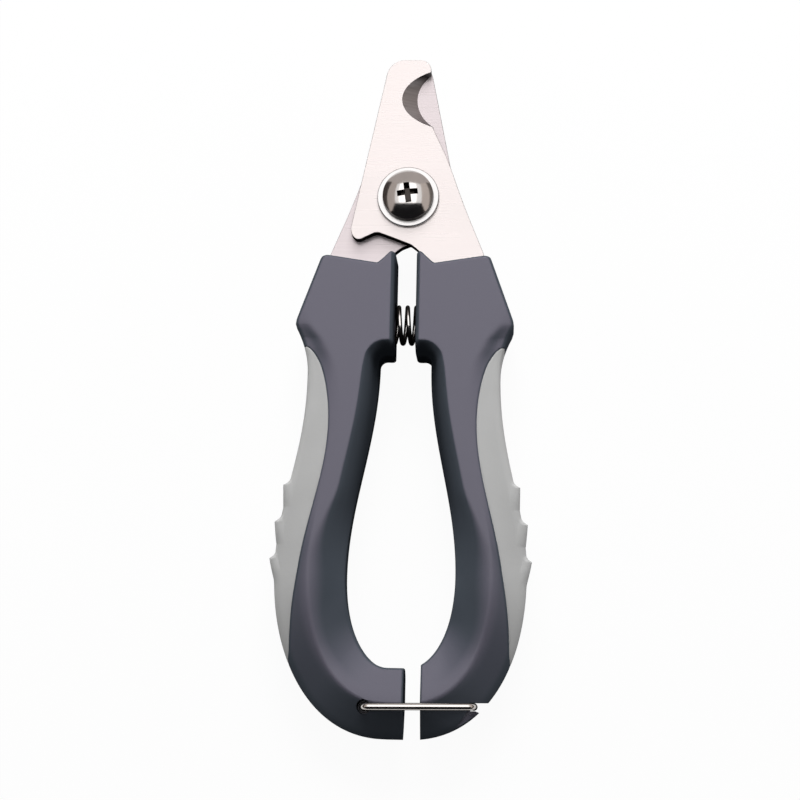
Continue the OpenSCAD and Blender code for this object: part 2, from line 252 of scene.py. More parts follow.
# painted shade: the near-black colour of the wires' flanks
wireLook = {"shade": (0.012, 0.011, 0.010, 1), "shadeGloss": 0.0}


# bright where it faces the front or the back, with painted shade darkening its flanks
def makeWire(name, look):
    material, finish = newFinish(name)
    paintedShadeFlank = finish.shader(Base_Color=wireLook["shade"], Roughness=look["rough"],
                          Specular_IOR_Level=wireLook["shadeGloss"])
    front = finish.facingForPaintedShade(look["steep"], look["flat"])
    finish.output(finish.mixed(front, paintedShadeFlank, makeBright(finish, look)))
    return material


handlePlastic = makePlastic()
gripRubber = makeRubber()
frontSteel = makeSteel("frontSteel", {"dark": (0.672, 0.612, 0.60, 1), "pale": (0.70, 0.641, 0.629, 1)})
rearSteel = makeSteel("rearSteel", {"dark": (0.505, 0.445, 0.453, 1), "pale": (0.648, 0.577, 0.589, 1)})
groundSteel = makeGround()
# painted shade: a dark steel for the blades' steep side walls, standing in for their shadow
edgeSteelPaintedShade = makeWire("edgeSteelPaintedShade", {"dark": (0.10, 0.095, 0.095, 1), "pale": (0.16, 0.15, 0.15, 1),
                                   "rough": 0.4, "steep": 0.5, "flat": 0.9})
# painted shade: near black for the screw's cross recess and the wall of its head
recessPaintedShade = makeChrome("recessPaintedShade", {"dark": (0.03, 0.026, 0.024, 1), "pale": (0.07, 0.06, 0.055, 1),
                                         "rough": 0.35})
screwChrome = makeChrome("screwChrome", {"dark": (0.60, 0.575, 0.56, 1), "pale": (0.74, 0.70, 0.68, 1),
                                         "rough": 0.13})
washerSteel = makeChrome("washerSteel", {"dark": (0.55, 0.535, 0.53, 1), "pale": (0.62, 0.60, 0.595, 1),
                                         "rough": 0.25})
# painted shade: the hook and the spring are darkened along their flanks
hookChrome = makeWire("hookChrome", {"dark": (0.62, 0.58, 0.55, 1), "pale": (0.76, 0.72, 0.69, 1),
                                     "rough": 0.12, "steep": 0.3, "flat": 0.75})
springSteel = makeWire("springSteel", {"dark": (0.62, 0.59, 0.57, 1), "pale": (0.78, 0.75, 0.73, 1),
                                       "rough": 0.16, "steep": 0.74, "flat": 0.97})
print("finishes made")


# mesh helpers

def addPiece(bm, name, body, nodes, finishes, sharp):
    bmesh.ops.transform(bm, matrix=toFrame, verts=bm.verts)
    for face in bm.faces:
        face.smooth = True
    mesh = bpy.data.meshes.new(name)
    bm.to_mesh(mesh)
    bm.free()
    if sharp:
        mesh.set_sharp_from_angle(angle=math.radians(sharp))
    piece = bpy.data.objects.new(name, mesh)
    bpy.context.scene.collection.objects.link(piece)
    for finish in finishes:
        mesh.materials.append(finish)
    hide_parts(*nodes)
    if body:
        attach(piece, body)
    return piece


def carve(bm, cutter, operation="DIFFERENCE"):
    solids = []
    for made in (bm, cutter):
        mesh = bpy.data.meshes.new("carving")
        made.to_mesh(mesh)
        made.free()
        solid = bpy.data.objects.new("carving", mesh)
        bpy.context.scene.collection.objects.link(solid)
        solids.append(solid)
    modifier = solids[0].modifiers.new("carve", "BOOLEAN")
    modifier.operation = operation
    modifier.solver = "EXACT"
    modifier.object = solids[1]
    depsgraph = bpy.context.evaluated_depsgraph_get()
    result = bmesh.new()
    result.from_mesh(solids[0].evaluated_get(depsgraph).to_mesh())
    for solid in solids:
        bpy.data.meshes.remove(solid.data)
    return result


def rod(radius, low, high, sides=48):
    bm = bmesh.new()
    place = Matrix.Translation((0, 0, (low + high) / 2))
    bmesh.ops.create_cone(bm, cap_ends=True, segments=sides, radius1=radius, radius2=radius,
                          depth=high - low, matrix=place)
    return bm


def moved(bm, matrix):
    bmesh.ops.transform(bm, matrix=matrix, verts=bm.verts)
    return bm


def flatFace(bm, corners, z, steps=10):
    made = [bm.verts.new((x, y, z)) for x, y, soft in corners]
    bm.faces.new(made)
    for vert, (x, y, soft) in zip(made, corners):
        if soft:
            bmesh.ops.bevel(bm, geom=[vert], offset=soft, offset_type="OFFSET", affect="VERTICES",
                            segments=steps, profile=0.5, material=-1)
    return list(bm.faces)


def thicken(bm, faces, height):
    made = bmesh.ops.extrude_face_region(bm, geom=faces)
    lifted = [item for item in made["geom"] if isinstance(item, bmesh.types.BMVert)]
    bmesh.ops.translate(bm, vec=(0, 0, height), verts=lifted)
    bmesh.ops.recalc_face_normals(bm, faces=bm.faces)
    return bm


def prism(corners, low, high):
    bm = bmesh.new()
    faces = flatFace(bm, corners, low)
    return thicken(bm, faces, high - low)


# handles and grips: one plan outline, with a front sheet and a back sheet over it
handle = {"reach": 108.2, "neckTop": 12.4, "topHalf": 16.45, "shoulderY": 27.5, "shoulderHalf": 21.85,
          "waistY": 37.0, "waistHalf": 19.1, "bellyY": 76.0, "bellyHalf": 24.6, "bellySkew": 1.15,
          "gapHalf": 2.1, "tabY": 32.6, "tabHalf": 5.25, "tabRound": 0.4, "tabHollow": 1.5, "loopLead": 2.9,
          "loopBellyY": 77.0, "loopHalf": 10.75, "loopBottom": 94.65, "loopSlack": 0.1,
          "tailX": 2.0, "turnPower": 2.2, "leftEnd": -1.1, "rightEnd": 4.4,
          "thick": 7.0, "tailThick": 5.0, "thinBy": 50.0,
          "peakX": 3.0, "peakFall": 0.25, "dipX": 5.5, "dipY": 14.9,
          "cornerY": 13.2, "cornerFrom": 0.9, "cornerFall": 33.0,
          "edgeRound": 0.45, "gapWide": 0.9, "gapTall": 2.5, "gapRun": 0.5, "endRun": 6.0,
          "backLoop": 2.4, "backOuter": 2.6, "backOuterTall": 6.0, "crest": 6.9, "scoopFrom": 0.6,
          "weld": 0.0005, "sharp": 50}
# stations down the handle: closer together at the rims and along the fins
stations = {"neckFine": (0, 0.0015, 0.006, 0.014, 0.024, 0.036), "neckFrom": 0.06, "neckSteps": 22,
            "tabSteps": 14, "roundSteps": 6, "hollowSteps": 10, "hollowPast": 0.2,
            "armFrom": 36.0, "armSteps": 36, "finFrom": 57.6, "finSteps": 110,
            "turnTo": 0.96, "turnSteps": 60, "turnFine": (0.026, 0.014, 0.007, 0.003, 0.0008, 0),
            "tailIn": 0.3, "tailOut": 0.6, "tailSteps": 6, "tailFine": (0.5, 0.3, 0.15, 0.06, 0.012, 0)}
# form down the arm: distance from the pivot, then the values that hold there
formDown = {"at": (20, 25, 27, 29, 31, 33, 36, 40, 47, 61, 74, 84, 90, 97, 102),
            "loopWide": (1.4, 1.4, 1.4, 1.4, 1.5, 1.8, 2.4, 2.7, 2.7, 2.5, 4.8, 6.8, 7.0, 6.5, 6.0),
            "loopSoft": (0.35, 0.35, 0.35, 0.35, 0.35, 0.3, 0.3, 0.25, 0.3, 0.5, 0.7, 0.35, 0.3, 0.3, 0.3),
            "loopTall": (6.6, 6.6, 6.6, 6.6, 6.6, 6.6, 6.8, 6.8, 6.8, 6.4, 4.6, 3.7, 3.5, 2.6, 1.0),
            "backTall": (1.0, 1.0, 1.0, 1.0, 1.0, 1.0, 2.5, 4.0, 5.0, 5.0, 5.0, 5.0, 5.0, 4.0, 4.0),
            "edgeWide": (0.8, 0.8, 0.8, 0.9, 1.0, 1.1, 1.4, 1.7, 1.9, 1.9, 1.8, 1.5, 1.4, 1.2, 1.2),
            "scoopDeep": (0, 0, 0.25, 0.6, 1.0, 1.2, 1.1, 0.9, 0.7, 0.5, 0.4, 0, 0, 0, 0),
            "scoopWide": (2.2, 2.4, 3.0, 3.5, 4.2, 5.2, 6.2, 7.0, 8.0, 8.0, 8.0, 8.0, 8.0, 8.0, 8.0),
            "crestFall": (0, 0, 0, 0, 0, 0, 0, 0, 0, 0.7, 2.5, 3.1, 3.4, 3.8, 4.2)}
grip = {"top": 31.9, "bottom": 93.5, "wide": 5.9, "lip": 0.35, "lipEnd": 0.06, "skew": 0.88, "power": 0.65,
        "finFirst": 59.6, "finPitch": 7.15, "fins": 3, "finHigh": 1.02, "finLong": 4.4, "finRise": 1.6,
        "finHollow": 2.6, "finDeep": 0.7, "finSlant": 0.3, "finLift": 0.7, "groove": 0.09, "grooveWide": 0.2,
        "runOut": 0.011, "sharp": 60}


def outerX(y):
    if y < handle["shoulderY"]:
        f = (y - handle["neckTop"]) / (handle["shoulderY"] - handle["neckTop"])
        return mix(handle["topHalf"], handle["shoulderHalf"], f)
    if y < handle["waistY"]:
        f = (y - handle["shoulderY"]) / (handle["waistY"] - handle["shoulderY"])
        return handle["waistHalf"] + (handle["shoulderHalf"] - handle["waistHalf"]) * (1 - f) ** 2
    f = (y - handle["waistY"]) / (handle["bellyY"] - handle["waistY"])
    return mix(handle["waistHalf"], handle["bellyHalf"], ease(f ** handle["bellySkew"]))


def softOuterX(y, spread=0.9):
    return (outerX(y - spread) + 2 * outerX(y) + outerX(y + spread)) / 4


def loopX(y):
    start = handle["tabY"] + handle["loopLead"]
    f = (y - start) / (handle["loopBellyY"] - start)
    return mix(handle["tabHalf"], handle["loopHalf"], ease(f))


def arcPoints(centre, radius, start, stop, count):
    turns = [math.radians(mix(start, stop, k / count)) for k in range(count + 1)]
    return [Vector((centre[0] + radius * math.cos(a), centre[1] + radius * math.sin(a))) for a in turns]


# under the neck the inner edge runs down the gap, out along the tab and down the loop
def tabContour(bottom):
    gap, tab, out, hollow = handle["gapHalf"], handle["tabY"], handle["tabRound"], handle["tabHollow"]
    few, many = stations["roundSteps"], stations["hollowSteps"]
    points = [Vector((gap, y)) for y in spaced(handle["shoulderY"], tab - out, stations["tabSteps"])]
    points += arcPoints((gap + out, tab - out), out, 180, 90, few)
    points += [Vector((x, tab)) for x in spaced(gap + out, handle["tabHalf"] - hollow, few)[1:]]
    points += arcPoints((handle["tabHalf"] - hollow, tab + hollow), hollow, -90, 0, many)
    low = tab + hollow + stations["hollowPast"]
    return points + [Vector((loopX(y), y)) for y in spaced(low, bottom, many)]


def topEdge(x):
    peakX, dipX = handle["peakX"], handle["dipX"]
    if x < peakX:
        return handle["neckTop"] + handle["peakFall"] * (peakX - x)
    if x < dipX:
        return mix(handle["neckTop"], handle["dipY"], (x - peakX) / (dipX - peakX))
    f = (x - dipX) / (handle["topHalf"] - dipX)
    fall = handle["cornerFall"] * max(0, f - handle["cornerFrom"]) ** 2
    return mix(handle["dipY"], handle["cornerY"], f) + fall


def softTopEdge(x, spread=0.35):
    return (topEdge(x - spread) + 2 * topEdge(x) + topEdge(x + spread)) / 4


def turnOuter(a):
    c, s = math.cos(a), math.sin(a)
    p = 2 / handle["turnPower"]
    return Vector((handle["tailX"] + (handle["bellyHalf"] - handle["tailX"]) * max(0, c) ** p,
                   handle["bellyY"] + (handle["reach"] - handle["bellyY"]) * s ** p))


def turnInner(a):
    return Vector((handle["tailX"] + (handle["loopHalf"] - handle["tailX"]) * math.cos(a),
                   handle["loopBellyY"] + (handle["loopBottom"] - handle["loopBellyY"]) * math.sin(a)))


# a station is a line across the handle: its inner end, its outer end and its half thickness;
# in the neck the two ends give way to the share of the way down
def stationLines(endX):
    lines = []
    thick, tailX, bellyY = handle["thick"], handle["tailX"], handle["bellyY"]
    armFrom, finFrom, turnTo = stations["armFrom"], stations["finFrom"], stations["turnTo"]
    for v in list(stations["neckFine"]) + spaced(stations["neckFrom"], 1, stations["neckSteps"]):
        lines.append(("neck", v, thick))
    inner = tabContour(armFrom)
    for k, point in enumerate(inner):
        y = mix(handle["shoulderY"], armFrom, k / len(inner))
        lines.append((point, Vector((softOuterX(y), y)), thick))
    for y in spaced(armFrom, finFrom, stations["armSteps"]) + spaced(finFrom, bellyY, stations["finSteps"]):
        v = mix(armFrom, handle["loopBellyY"], (y - armFrom) / (bellyY - armFrom))
        lines.append((Vector((loopX(v), v)), Vector((softOuterX(y), y)), thick))
    full = math.radians(90)
    outerStop = innerStop = full
    fine = [1]
    if endX > tailX:
        reachX = (endX - tailX) / (handle["bellyHalf"] - tailX)
        outerStop = math.acos(reachX ** (handle["turnPower"] / 2))
        innerStop = math.acos((endX - tailX) / (handle["loopHalf"] - tailX))
        fine = [1 - d for d in stations["turnFine"]]
    for f in spaced(0, turnTo, stations["turnSteps"]) + [turnTo] + fine:
        thin = ease(math.degrees(f * full) / handle["thinBy"])
        half = mix(thick, handle["tailThick"], thin)
        lines.append((turnInner(f * innerStop), turnOuter(f * outerStop), half))
    if endX < tailX:
        coarse = spaced(tailX - stations["tailIn"], endX + stations["tailOut"], stations["tailSteps"])
        for x in coarse + [endX + d for d in stations["tailFine"]]:
            ends = Vector((x, handle["loopBottom"])), Vector((x, handle["reach"]))
            lines.append((*ends, handle["tailThick"]))
    return lines


def acrossNeck(v, c):
    guess = mix(handle["gapHalf"], outerX(mix(handle["cornerY"], handle["shoulderY"], v)), c)
    y = mix(softTopEdge(guess), handle["shoulderY"], v)
    return Vector((mix(handle["gapHalf"], softOuterX(y), c), y))


def across(line, c):
    if line[0] == "neck":
        return acrossNeck(line[1], c)
    return line[0].lerp(line[1], c)


def nearness(points, step=0.08):
    dense = []
    for a, b in zip(points, points[1:]):
        n = max(1, int((b - a).length / step))
        dense += [a.lerp(b, k / n) for k in range(n)]
    tree = kdtree.KDTree(len(dense))
    for k, p in enumerate(dense):
        tree.insert((p.x, p.y, 0), k)
    tree.balance()
    return lambda p: tree.find((p.x, p.y, 0))[2]


def rounding(distance, radius):
    u = min(1, max(0, distance / radius))
    return math.sqrt(1 - (1 - u) ** 2)


# a slope that runs out into the flat over a soft stretch
def ramp(distance, wide, soft):
    u = max(0, distance / wide)
    blend = max(0, soft - abs(u - 1)) / soft
    return min(u, 1) - blend * blend * soft / 4


def formLine(values, y):
    at = formDown["at"]
    for k in range(len(at) - 1):
        if y < at[k + 1]:
            return mix(values[k], values[k + 1], max(0, (y - at[k]) / (at[k + 1] - at[k])))
    return values[-1]


def formAt(name, y, spread=0.8):
    return sum(formLine(formDown[name], y + spread * k) for k in (-2, -1, 0, 1, 2)) / 5


def gripWidth(y):
    f = (y - grip["top"]) / (grip["bottom"] - grip["top"])
    if not 0 <= f <= 1 + grip["runOut"]:
        return None
    f = min(1, f)
    swell = math.sin(math.pi * f ** grip["skew"])
    lip = mix(grip["lip"], grip["lipEnd"], f)
    return lip + (grip["wide"] - lip) * max(0, swell) ** grip["power"]


class HandleShape:
    def __init__(self, endX):
        self.endX = endX
        self.lines = stationLines(endX)
        arms = [line for line in self.lines if line[0] != "neck"]
        loopFrom = handle["tabY"] - handle["loopSlack"]
        self.toLoop = nearness([line[0] for line in arms if line[0].y > loopFrom])
        neck = [acrossNeck(line[1], 1) for line in self.lines if line[0] == "neck"]
        self.toOuter = nearness(neck + [line[1] for line in arms])

    def seam(self, line):
        if line[0] == "neck":
            return 1
        wide = gripWidth(line[1].y) if line[1].x > handle["tailX"] else None
        if wide is None:
            return 1
        return 1 - wide / (line[1] - line[0]).length

    def height(self, p, line, front):
        thick = line[2]
        down = p.y if line[0] == "neck" else (line[0].y + line[1].y) / 2
        fromLoop, fromOuter = self.toLoop(p), self.toOuter(p)
        form = {name: formAt(name, down) for name in formDown if name != "at"}
        edge = form["edgeWide"]
        if front:
            loopDrop = form["loopTall"] * (1 - ramp(fromLoop, form["loopWide"], form["loopSoft"]))
            edgeDrop = edge * (1 - rounding(fromOuter, edge))
        else:
            backWide = min(handle["backLoop"], form["backTall"])
            loopDrop = form["backTall"] * (1 - rounding(fromLoop, backWide))
            edgeDrop = handle["backOuterTall"] * (1 - rounding(fromOuter, handle["backOuter"]))
        crest = form["crestFall"] * max(0, 1 - fromOuter / handle["crest"])
        scoopFrom = handle["scoopFrom"]
        scoop = form["scoopDeep"] * (1 - ease((fromOuter - scoopFrom) / (form["scoopWide"] - scoopFrom)))
        small = handle["edgeRound"]
        drops = [loopDrop, edgeDrop, crest, scoop, small * (1 - rounding(fromLoop, small))]
        if p.y < handle["tabY"] + handle["gapRun"]:
            drops.append(handle["gapTall"] * (1 - rounding(p.x - handle["gapHalf"], handle["gapWide"])))
        if line[0] == "neck":
            drops.append(small * (1 - rounding(p.y - softTopEdge(p.x), small)))
        if p.y > handle["loopBottom"] - handle["endRun"]:
            drops.append(small * (1 - rounding(p.x - self.endX, small)))
        for drop in drops:
            thick *= 1 - drop / line[2]
        return thick

    def groove(self, c, line, seam):
        if seam >= 1:
            return 0
        away = (c - seam) * (line[1] - line[0]).length
        return grip["groove"] * math.exp(-(away / grip["grooveWide"]) ** 2)

    def fin(self, p, fromOuter):
        total = 0
        for k in range(grip["fins"]):
            along = p.y - grip["finFirst"] - k * grip["finPitch"]
            if -grip["finRise"] < along < grip["finLong"]:
                if along < 0:
                    rise = (1 + along / grip["finRise"]) ** grip["finHollow"]
                else:
                    rise = 1 - along / grip["finLong"]
                facet = grip["finDeep"] + grip["finSlant"] * max(0, along)
                total += grip["finHigh"] * rise * max(0, 1 - fromOuter / facet)
        return total


# front and back are grids of columns across every station; their rims meet in the middle plane
def sheet(shape, lines, columns, isGrip):
    bm = bmesh.new()
    rows, count = len(lines) + 2, len(columns) + 2
    for front in (True, False):
        made = bmesh.ops.create_grid(bm, x_segments=rows - 1, y_segments=count - 1, size=1)
        for vert in made["verts"]:
            row = round((vert.co.x + 1) / 2 * (rows - 1))
            k = round((vert.co.y + 1) / 2 * (count - 1))
            line = lines[min(len(lines) - 1, max(0, row - 1))]
            seam = shape.seam(line)
            share = columns[min(len(columns) - 1, max(0, k - 1))]
            c = mix(seam, 1, share) if isGrip else seam * share
            p = across(line, c)
            onRim = row in (0, rows - 1) or k in (0, count - 1)
            z = 0 if onRim else max(0, shape.height(p, line, front) - shape.groove(c, line, seam))
            if isGrip:
                fin = shape.fin(p, (1 - c) * (line[1] - line[0]).length)
                p.x += fin
                z += 0 if onRim else grip["finLift"] * fin
            vert.co = (p.x, -p.y, z if front else -z)
    bmesh.ops.remove_doubles(bm, verts=bm.verts, dist=handle["weld"])
    bmesh.ops.dissolve_degenerate(bm, edges=bm.edges, dist=handle["weld"])
    bmesh.ops.recalc_face_normals(bm, faces=bm.faces)
    return bm


coreColumns = ([0, 0.003, 0.009, 0.018, 0.03, 0.045] + spaced(0.06, 0.5, 26) + spaced(0.5, 0.94, 14)
               + [0.94, 0.956, 0.97, 0.982, 0.991, 0.997, 1])
gripColumns = ([0, 0.015, 0.04, 0.08, 0.14] + spaced(0.2, 0.6, 6) + spaced(0.6, 0.97, 16)
               + [0.97, 0.982, 0.991, 0.997, 1])


def flipped(bm):
    bmesh.ops.scale(bm, vec=(-1, 1, 1), verts=bm.verts)
    bmesh.ops.reverse_faces(bm, faces=bm.faces)
    return bm


pocket = {"radius": 4.6, "from": 2.0, "deep": 7.9, "y": -26.2, "spigot": 2.5, "spigotFrom": 5.0, "past": 1.0,
          "sides": 64}


def springPocket():
    cutter = rod(pocket["radius"], pocket["from"], pocket["deep"], pocket["sides"])
    cutter = carve(cutter, rod(pocket["spigot"], pocket["spigotFrom"], pocket["deep"] + pocket["past"]))
    turn = Matrix.Translation((0, pocket["y"], 0)) @ Matrix.Rotation(math.radians(90), 4, "Y")
    return moved(cutter, turn)


hook = {"x": -6.4, "y": -102.1, "long": 21.1, "turn": 1.0, "wire": 0.7, "sides": 24, "bend": 1.3,
        "rodZ": 5.95, "tipDeep": 4.4, "tipSteps": 6, "tipEnd": 0.001, "weld": 0.002, "sharp": 50,
        "mouth": 1.4, "mouthFloor": 0.5, "bore": 0.76, "through": 20, "seat": 1.6, "seatZ": -4.0,
        "seatRoom": 0.06, "rivet": 1.2, "rivetHigh": 0.7, "rivetEdge": 0.15, "rivetTop": 0.8}
catch = {"room": 0.06, "shoulder": 0.12, "lip": 0.06, "lipRun": 1, "lipSlope": 0.4, "floor": 1.15,
         "run": (-5.6, -8.4), "far": 40, "below": -130, "through": 20}


def hookBore():
    through = hook["through"]
    bore = rod(hook["bore"], -through, through)
    bore = carve(bore, rod(hook["mouth"], hook["mouthFloor"], through), "UNION")
    bore = carve(bore, rod(hook["seat"], -through, hook["seatZ"]), "UNION")
    return moved(bore, Matrix.Translation((hook["x"], hook["y"], 0)))


def catchNotch():
    angle = math.radians(hook["turn"])
    cx = hook["x"] + hook["long"] * math.cos(angle)
    cy = hook["y"] + hook["long"] * math.sin(angle)
    wall = cx - hook["wire"] - catch["room"]
    top = cy + hook["wire"] + catch["shoulder"]
    low = cy - hook["wire"] - catch["lip"]
    far, below, through, lipRun = catch["far"], catch["below"], catch["through"], catch["lipRun"]
    lipEnd = low - catch["lipSlope"] * (far - wall - lipRun)
    slot = prism([(wall, top, 0), (far, top, 0), (far, lipEnd, 0), (wall + lipRun, low, 0), (wall, low, 0)],
                 -through, through)
    left = wall + catch["run"][0]
    ledge = prism([(wall, cy, 0), (far, cy, 0), (far, below, 0), (left, below, 0),
                   (left, cy + catch["run"][1], 0)], catch["floor"], through)
    return carve(slot, ledge, "UNION")


def makeHandle(side):
    left = side == "left"
    shape = HandleShape(handle["leftEnd"] if left else handle["rightEnd"])
    core = sheet(shape, shape.lines, coreColumns, False)
    gripped = [line for line in shape.lines if shape.seam(line) < 1]
    soft = sheet(shape, gripped, gripColumns, True)
    core = carve(core, springPocket())
    if left:
        core, soft = flipped(core), flipped(soft)
        core = carve(core, hookBore())
    else:
        core = carve(core, catchNotch())
    addPiece(core, side + "Handle", side + "_half", [side + "_handle"], [handlePlastic],
             handle["sharp"])
    addPiece(soft, side + "Grip", side + "_half", [side + "_grip"], [gripRubber],
             grip["sharp"])
    print(side, "handle and grip made")


makeHandle("left")
makeHandle("right")

# blades: a flat face with softened corners, thickened, notched and with its rims broken
blade = {"thick": 2.2, "gap": 0.03, "bore": 2.55, "boreReach": 5, "boreSides": 64, "rim": 0.1,
         "corners": [(-4.3, 29.6, 3.0), (4.2, 29.6, 2.2), (4.2, 21.2, 0), (4.8, 14.7, 0), (8.0, 7.9, 3),
                     (11.2, -1.3, 4), (15.5, -11.8, 0), (15.4, -14.8, 0), (15.4, -32.0, 0), (9.8, -32.0, 0),
                     (9.8, -14.8, 0), (3.4, -14.8, 0), (3.4, -12.4, 0), (2.2, -11.0, 0.6), (0.8, -9.9, 0.5),
                     (-2.7, -8.5, 1.5), (-6.3, -7.2, 0.7), (-8.2, -8.1, 0.8), (-10.2, -9.1, 0.9),
                     (-11.75, -7.4, 1.2), (-9.5, 3.8, 4)],
         "edgeAt": (10.85, 21.6), "edgeSize": (9.5, 7.6), "faceAt": (11.05, 21.1), "faceSize": (12.75, 7.0),
         "notchSides": 160, "notchPast": 0.2, "rearShift": 0.4, "bevelX": (-3.0, 4.9), "bevelY": (14.0, 27.5),
         "bevelLift": 0.95, "sideLift": 0.6, "flatLift": 0.999}


# the notch is an ellipse at the cutting edge and a longer one at the face
def notchCutter():
    bm = bmesh.new()
    past = blade["notchPast"]
    edgeAt = Vector(blade["edgeAt"] + (blade["gap"],))
    faceAt = Vector(blade["faceAt"] + (blade["gap"] + blade["thick"],))
    loops = []
    for f in (-past, 1 + past):
        size = [mix(a, b, f) for a, b in zip(blade["edgeSize"], blade["faceSize"])]
        place = Matrix.Translation(edgeAt.lerp(faceAt, f)) @ Matrix.Diagonal((size[0], size[1], 1, 1))
        ring = bmesh.ops.create_circle(bm, segments=blade["notchSides"], radius=1, matrix=place)
        loops += list({edge for vert in ring["verts"] for edge in vert.link_edges})
    bmesh.ops.bridge_loops(bm, edges=loops)
    bmesh.ops.holes_fill(bm, edges=[edge for edge in bm.edges if edge.is_boundary], sides=0)
    bmesh.ops.recalc_face_normals(bm, faces=bm.faces)
    return bm


def breakRims(bm, size, angle=50):
    sharp = [edge for edge in bm.edges if edge.is_manifold and edge.calc_face_angle() > math.radians(angle)]
    bmesh.ops.bevel(bm, geom=sharp, offset=size, offset_type="OFFSET", affect="EDGES", segments=2,
                    profile=0.5, material=-1, clamp_overlap=True)
    return bm


def makeBlade(name, body, node, finish, rear):
    shift = blade["rearShift"] if rear else 0
    corners = [(x + shift, y, radius) for x, y, radius in blade["corners"]]
    bm = prism(corners, blade["gap"], blade["gap"] + blade["thick"])
    bm = carve(bm, rod(blade["bore"], -blade["boreReach"], blade["boreReach"], blade["boreSides"]))
    bm = breakRims(bm, blade["rim"])
    bm = carve(bm, notchCutter())
    sideways, along = blade["bevelX"], blade["bevelY"]
    # material 1 is the ground bevel in the notch; the steep side walls elsewhere take the dark edge steel as
    # painted shade
    for face in bm.faces:
        middle = face.calc_center_median()
        inNotch = sideways[0] < middle.x < sideways[1] and along[0] < middle.y < along[1]
        lift = abs(face.normal.z)
        if inNotch and lift < blade["bevelLift"]:
            face.material_index = 1
        elif lift < blade["sideLift"]:
            face.material_index = 2
        if lift > blade["flatLift"]:
            for edge in face.edges:
                edge.smooth = False
    if rear:
        turn = Matrix.Rotation(math.radians(180), 3, "Y")
        bmesh.ops.rotate(bm, cent=(0, 0, 0), matrix=turn, verts=bm.verts)
    addPiece(bm, name, body, [node], [finish, groundSteel, edgeSteelPaintedShade], None)


makeBlade("frontBlade", "right_half", "front_blade", frontSteel, False)
makeBlade("rearBlade", "left_half", "rear_blade", rearSteel, True)
print("blades made")

# pivot hardware, turned from profiles; the nut's hexagon is cut by a turned cone
hardwareSharp = 30
screw = {"shank": 2.5, "head": 5.2, "flare": 0.12, "seatZ": 2.98, "seatEdge": 0.12, "rim": 1.4, "high": 3.2,
         "domeSteps": 24, "end": -6.3, "endEdge": 0.4, "turn": 8.0, "deep": 1.9, "above": 0.6,
         "recess": 2.4, "recessTop": 1.05, "recessLow": 0.55, "slot": 0.64, "slotLow": 0.75,
         "room": 0.3, "skin": 0.03, "wallLift": 0.6}
washer = {"radius": 6.3, "bore": 2.55, "thick": 0.7, "frontZ": 2.28, "rearZ": -2.93, "chamfer": 0.18}
nut = {"sides": 6, "flats": 8.0, "high": 3.0, "top": -2.93, "coneOut": 1.0, "coneRise": 1.2, "coneIn": 0.75,
       "past": 1.0, "boreLow": -12, "boreSides": 64}


def turned(profile, steps=96):
    bm = bmesh.new()
    verts = [bm.verts.new((x, 0, z)) for x, z in profile]
    edges = [bm.edges.new(pair) for pair in zip(verts, verts[1:])]
    bmesh.ops.spin(bm, geom=verts + edges, cent=(0, 0, 0), axis=(0, 0, 1), dvec=(0, 0, 0),
                   angle=math.tau, steps=steps, use_merge=True, use_duplicate=False)
    bmesh.ops.remove_doubles(bm, verts=bm.verts, dist=0.001)
    bmesh.ops.recalc_face_normals(bm, faces=bm.faces)
    return bm


def crossCutter(top):
    cutter = None
    for turn in (0, 90):
        bm = bmesh.new()
        bmesh.ops.create_cube(bm, size=2)
        for vert in bm.verts:
            low = vert.co.z < 0
            vert.co.x *= screw["recess"] * screw["recessLow" if low else "recessTop"]
            vert.co.y *= screw["slot"] * (screw["slotLow"] if low else 1)
            vert.co.z = top - screw["deep"] if low else top + screw["above"]
        bmesh.ops.recalc_face_normals(bm, faces=bm.faces)
        moved(bm, Matrix.Rotation(math.radians(screw["turn"] + turn), 4, "Z"))
        cutter = bm if cutter is None else carve(cutter, bm, "UNION")
    return cutter


def capHeight(r):
    rise = screw["high"] - screw["rim"]
    ball = ((screw["head"] - screw["flare"]) ** 2 + rise ** 2) / (2 * rise)
    return screw["seatZ"] + screw["rim"] + math.sqrt(ball ** 2 - r ** 2) - (ball - rise)


def makeScrew():
    head, seat, shank, end = screw["head"], screw["seatZ"], screw["shank"], screw["end"]
    seatEdge, endEdge, steps = screw["seatEdge"], screw["endEdge"], screw["domeSteps"]
    cap = head - screw["flare"]
    dome = [(cap * k / steps, capHeight(cap * k / steps)) for k in range(steps + 1)]
    profile = dome + [(head, seat + seatEdge), (head - seatEdge, seat), (shank, seat),
                      (shank, end + endEdge), (shank - endEdge, end), (0, end)]
    bm = carve(turned(profile), crossCutter(seat + screw["high"]))
    # painted shade: faces sunk in the cross recess and the steep wall of the head take the near-black finish
    for face in bm.faces:
        middle = face.calc_center_median()
        r = middle.xy.length
        sunk = seat + screw["room"] < middle.z < capHeight(r) - screw["skin"]
        inRecess = sunk and r < screw["recess"] + screw["room"]
        onWall = r > cap and abs(face.normal.z) < screw["wallLift"]
        if inRecess or onWall:
            face.material_index = 1
    addPiece(bm, "pivotScrew", "left_half", ["pivot_screw"], [screwChrome, recessPaintedShade],
             hardwareSharp)


def makeWasher(name, node, z):
    r, b, t, c = washer["radius"], washer["bore"], washer["thick"], washer["chamfer"]
    profile = [(b, z), (r - c, z), (r, z + c), (r, z + t - c), (r - c, z + t), (b, z + t), (b, z)]
    addPiece(turned(profile), name, "left_half", [node], [washerSteel], hardwareSharp)


